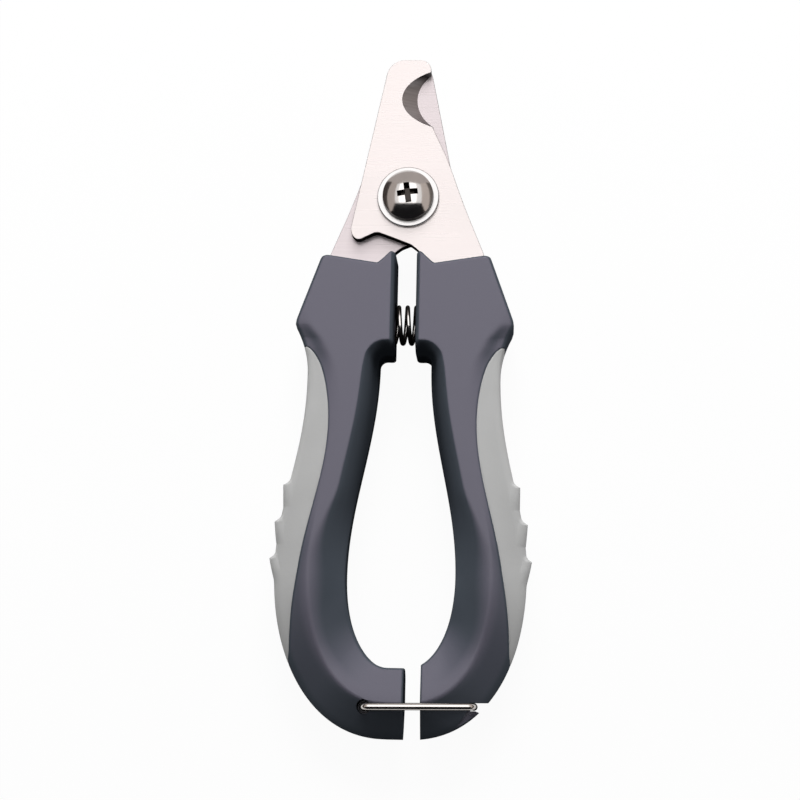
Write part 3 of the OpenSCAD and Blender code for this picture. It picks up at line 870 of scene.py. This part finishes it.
def makeNut():
    corner = nut["flats"] / 2 / math.cos(math.pi / nut["sides"])
    high, low, past = nut["top"], nut["top"] - nut["high"], nut["past"]
    wide = corner + nut["coneOut"]
    slope = (nut["coneOut"] + nut["coneIn"]) / nut["coneRise"]
    cone = turned([(0, high + past), (wide, high + past), (wide, low + nut["coneRise"]),
                   (corner - nut["coneIn"] - slope * past, low - past), (0, low - past)])
    bm = carve(rod(corner, low, high, nut["sides"]), cone, "INTERSECT")
    bm = carve(bm, rod(screw["shank"], nut["boreLow"], 0, nut["boreSides"]))
    addPiece(bm, "pivotNut", "left_half", ["pivot_nut"], [screwChrome], hardwareSharp)


makeScrew()
makeWasher("frontWasher", "front_washer", washer["frontZ"])
makeWasher("rearWasher", "rear_washer", washer["rearZ"])
makeNut()
print("pivot made")

# return spring: one wire, spun with a step along its axis, with straight ends
spring = {"y": -26.2, "outer": 4.1, "wire": 0.46, "curls": 8, "end": 7.9, "turn": -45.0, "held": 1.0,
          "steps": 48, "sides": 16, "sharp": 60}


def makeSpring():
    bm = bmesh.new()
    radius = spring["outer"] - spring["wire"]
    start = 2 * spring["wire"] - spring["end"]
    travel = -2 * start
    ring = bmesh.ops.create_circle(bm, segments=spring["sides"], radius=spring["wire"],
                                   matrix=Matrix.Translation((start, radius, 0)))
    rim = list({edge for vert in ring["verts"] for edge in vert.link_edges})
    steps = spring["curls"] * spring["steps"]
    bmesh.ops.spin(bm, geom=ring["verts"] + rim, cent=(0, 0, 0), axis=(1, 0, 0), dvec=(travel / steps, 0, 0),
                   angle=math.tau * spring["curls"], steps=steps, use_merge=False, use_duplicate=False)
    for side in (-1, 1):
        edge = [item for item in bm.edges if item.is_boundary and item.verts[0].co.x * side > 0]
        ends = bmesh.ops.extrude_edge_only(bm, edges=edge)["geom"]
        verts = [item for item in ends if isinstance(item, bmesh.types.BMVert)]
        middle = sum((vert.co for vert in verts), Vector()) / len(verts)
        for vert in verts:
            offset = vert.co - middle
            out = Vector((0, middle.y, middle.z)).normalized()
            spread = Vector((1, 0, 0)).cross(out)
            vert.co = middle + out * offset.dot(out) + spread * offset.x * side
            vert.co.x = side * spring["end"]
    bmesh.ops.holes_fill(bm, edges=[edge for edge in bm.edges if edge.is_boundary], sides=0)
    bmesh.ops.recalc_face_normals(bm, faces=bm.faces)
    if bm.calc_volume(signed=True) < 0:
        bmesh.ops.reverse_faces(bm, faces=bm.faces)
    moved(bm, Matrix.Translation((0, spring["y"], 0)) @ Matrix.Rotation(math.radians(spring["turn"]), 4, "X"))
    piece = addPiece(bm, "returnSpring", None, ["return_spring"], [springSteel],
                     spring["sharp"])
    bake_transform(piece)


makeSpring()
print("spring made")


# lock hook: a wire bent down at both ends, riveted at the back
def rimVerts(rim):
    return list({vert for edge in rim for vert in edge.verts})


def bendWire(bm, rim, centre, angle, steps=14):
    made = bmesh.ops.spin(bm, geom=rimVerts(rim) + rim, cent=centre, axis=(0, 1, 0), dvec=(0, 0, 0),
                          angle=angle, steps=steps, use_merge=False, use_duplicate=False)
    return [item for item in made["geom_last"] if isinstance(item, bmesh.types.BMEdge)]


def runWire(bm, rim, way):
    made = bmesh.ops.extrude_edge_only(bm, edges=rim)["geom"]
    bmesh.ops.translate(bm, vec=way, verts=[item for item in made if isinstance(item, bmesh.types.BMVert)])
    return [item for item in made if isinstance(item, bmesh.types.BMEdge) and item.is_boundary]


def makeHook():
    bm = bmesh.new()
    wire, bend, rodZ, chamfer = hook["wire"], hook["bend"], hook["rodZ"], hook["rivetEdge"]
    low = hook["seatZ"] - hook["seatRoom"]
    ring = bmesh.ops.create_circle(bm, segments=hook["sides"], radius=wire,
                                   matrix=Matrix.Translation((0, 0, low)))
    rim = list({edge for vert in ring["verts"] for edge in vert.link_edges})
    rivet = runWire(bm, rim, (0, 0, 0))
    widen, narrow = hook["rivet"] / wire, hook["rivetTop"]
    bmesh.ops.scale(bm, vec=(widen, widen, 1), verts=rimVerts(rivet))
    rivet = runWire(bm, rivet, (0, 0, chamfer - hook["rivetHigh"]))
    rivet = runWire(bm, rivet, (0, 0, -chamfer))
    bmesh.ops.scale(bm, vec=(narrow, narrow, 1), verts=rimVerts(rivet))
    bmesh.ops.contextual_create(bm, geom=rivet)
    bendZ, quarter = rodZ - bend, math.radians(90)
    rim = runWire(bm, rim, (0, 0, bendZ - low))
    rim = bendWire(bm, rim, (bend, 0, bendZ), quarter)
    rim = runWire(bm, rim, (hook["long"] - 2 * bend, 0, 0))
    rim = bendWire(bm, rim, (hook["long"] - bend, 0, bendZ), quarter)
    rim = runWire(bm, rim, (0, 0, rodZ - hook["tipDeep"] + wire - bendZ))
    step = quarter / hook["tipSteps"]
    for k in range(hook["tipSteps"]):
        a, b = step * k, step * (k + 1)
        rim = runWire(bm, rim, (0, 0, -wire * (math.sin(b) - math.sin(a))))
        verts = rimVerts(rim)
        middle = sum((vert.co for vert in verts), Vector()) / len(verts)
        shrink = max(hook["tipEnd"], math.cos(b)) / math.cos(a)
        bmesh.ops.scale(bm, vec=(shrink, shrink, 1), verts=verts, space=Matrix.Translation(-middle))
    bmesh.ops.remove_doubles(bm, verts=bm.verts, dist=hook["weld"])
    bmesh.ops.recalc_face_normals(bm, faces=bm.faces)
    turn = Matrix.Rotation(math.radians(hook["turn"]), 4, "Z")
    moved(bm, Matrix.Translation((hook["x"], hook["y"], 0)) @ turn)
    addPiece(bm, "lockHook", "hook", ["lock_hook"], [hookChrome], hook["sharp"])


makeHook()
print("hook made")

# camera: from in front, a little to the right and towards the handle ends
view = {"at": (0.02005, -0.068793, 0.349952), "right": (0.99817408, 0.01884505, -0.05738784),
        "up": (-0.00753513, 0.98151289, 0.19124765), "lens": 78.75, "roll": 0.15,
        "sensor": 36, "near": 0.01}


def makeCamera():
    right, up = Vector(view["right"]).normalized(), Vector(view["up"]).normalized()
    roll = Matrix.Rotation(math.radians(view["roll"]), 3, right.cross(up))
    right, up = roll @ right, roll @ up
    back = right.cross(up)
    data = bpy.data.cameras.new("camera")
    data.lens = view["lens"]
    data.sensor_width = view["sensor"]
    data.clip_start = view["near"]
    camera = bpy.data.objects.new("camera", data)
    turn = Matrix((right, up, back)).transposed().to_4x4()
    camera.matrix_world = Matrix.Translation(view["at"]) @ turn
    bpy.context.scene.collection.objects.link(camera)
    bpy.context.scene.camera = camera


makeCamera()

# studio: a white floor that keeps a faint shadow, a soft box overhead, lamps above the tips and at the sides
studio = {"floor": (0.9, 0.9, 0.9, 1), "dim": (0.06, 0.06, 0.06, 1), "white": (1, 1, 1, 1), "glow": 1.0,
          "shadow": 0.05, "fill": 0.06, "half": 6}
lamps = [{"name": "softBox", "at": (-0.02, 0.21, 0.47), "aim": (-0.02, 0.19, 0), "size": (0.46, 0.6),
          "power": 0.7, "mirrored": True},
         {"name": "topLamp", "at": (0.02, 0.55, 0.4), "aim": (0, 0, 0), "size": (0.4, 0.3), "power": 4.7,
          "mirrored": False},
         {"name": "leftLamp", "at": (-0.6, 0.1, 0.14), "aim": (0, 0, 0), "size": (0.3, 0.12), "power": 1.2,
          "mirrored": False},
         {"name": "rightLamp", "at": (0.6, 0.1, 0.14), "aim": (0, 0, 0), "size": (0.3, 0.12), "power": 1.2,
          "mirrored": False}]
# cards that only the glossy surfaces see: place, turn about Z, lean, size and tone
cards = [{"name": "lowCard", "at": (0, -0.4225, 0.2975), "turn": 0, "lean": -45, "size": (2.0, 0.856),
          "colour": (0.01, 0.01, 0.011, 1)},
         {"name": "tipCard", "at": (0, 0.75, 0.3), "turn": 180, "lean": 0, "size": (1.6, 0.7),
          "colour": (0.5, 0.46, 0.44, 1)},
         {"name": "leftHigh", "at": (-0.544, 0.22, 0.455), "turn": 270, "lean": -20, "size": (1.1, 0.33),
          "colour": (0.50, 0.45, 0.42, 1)},
         {"name": "leftLow", "at": (-0.656, 0.22, 0.145), "turn": 270, "lean": -20, "size": (1.1, 0.33),
          "colour": (0.06, 0.05, 0.046, 1)},
         {"name": "rightHigh", "at": (0.544, 0.22, 0.455), "turn": 90, "lean": -20, "size": (1.1, 0.33),
          "colour": (0.60, 0.54, 0.50, 1)},
         {"name": "rightLow", "at": (0.656, 0.22, 0.145), "turn": 90, "lean": -20, "size": (1.1, 0.33),
          "colour": (0.16, 0.145, 0.135, 1)}]


def seenDirectly(finish):
    seen = None
    for name in ("Is Camera Ray", "Is Glossy Ray", "Is Transmission Ray"):
        ray = finish.node("ShaderNodeLightPath", output=name)
        seen = ray if seen is None else ray.maths("MAXIMUM", seen, ray)
    return seen


def makeFloor():
    bm = bmesh.new()
    bmesh.ops.create_grid(bm, x_segments=1, y_segments=1, size=studio["half"])
    mesh = bpy.data.meshes.new("floor")
    bm.to_mesh(mesh)
    bm.free()
    material, finish = newFinish("floorWhite")
    lit = finish.node("ShaderNodeBsdfDiffuse", {}, {"Color": studio["floor"]})
    dim = finish.node("ShaderNodeBsdfDiffuse", {}, {"Color": studio["dim"]})
    glow = finish.node("ShaderNodeEmission", {}, {"Color": studio["white"], "Strength": studio["glow"]})
    shown = finish.mixed(studio["shadow"], glow, lit)
    finish.output(finish.mixed(seenDirectly(finish), dim, shown))
    mesh.materials.append(material)
    floor = bpy.data.objects.new("floor", mesh)
    bpy.context.scene.collection.objects.link(floor)


def makeCards():
    for card in cards:
        bm = bmesh.new()
        upright = Matrix.Rotation(math.radians(90 + card["lean"]), 4, "X")
        turn = Matrix.Rotation(math.radians(card["turn"]), 4, "Z")
        wide, tall = card["size"]
        size = Matrix.Diagonal((wide / 2, tall / 2, 1, 1))
        bmesh.ops.create_grid(bm, x_segments=1, y_segments=1, size=1,
                              matrix=Matrix.Translation(card["at"]) @ turn @ upright @ size)
        mesh = bpy.data.meshes.new(card["name"])
        bm.to_mesh(mesh)
        bm.free()
        material, finish = newFinish(card["name"])
        tone = finish.node("ShaderNodeEmission", {}, {"Color": card["colour"], "Strength": studio["glow"]})
        finish.output(tone)
        mesh.materials.append(material)
        shade = bpy.data.objects.new(card["name"], mesh)
        shade.visible_camera = shade.visible_diffuse = shade.visible_shadow = False
        bpy.context.scene.collection.objects.link(shade)


def makeWorld():
    world = bpy.data.worlds.new("studio")
    world.use_nodes = True
    bpy.context.scene.world = world
    finish = Finish(world.node_tree)
    seen = seenDirectly(finish)
    strength = seen + (1 - seen) * studio["fill"]
    light = finish.node("ShaderNodeBackground", {}, {"Color": studio["white"], "Strength": strength})
    finish.node("ShaderNodeOutputWorld", {}, {"Surface": light})


def makeLamps():
    for lamp in lamps:
        data = bpy.data.lights.new(lamp["name"], "AREA")
        data.shape = "RECTANGLE"
        data.size, data.size_y = lamp["size"]
        data.energy = lamp["power"]
        light = bpy.data.objects.new(lamp["name"], data)
        light.location = lamp["at"]
        light.rotation_mode = "QUATERNION"
        light.rotation_quaternion = (Vector(lamp["aim"]) - Vector(lamp["at"])).to_track_quat("-Z", "Y")
        light.visible_camera = False
        light.visible_glossy = lamp["mirrored"]
        bpy.context.scene.collection.objects.link(light)


makeFloor()
makeCards()
makeWorld()
makeLamps()
bpy.context.scene.view_settings.view_transform = "Standard"
print("studio made")
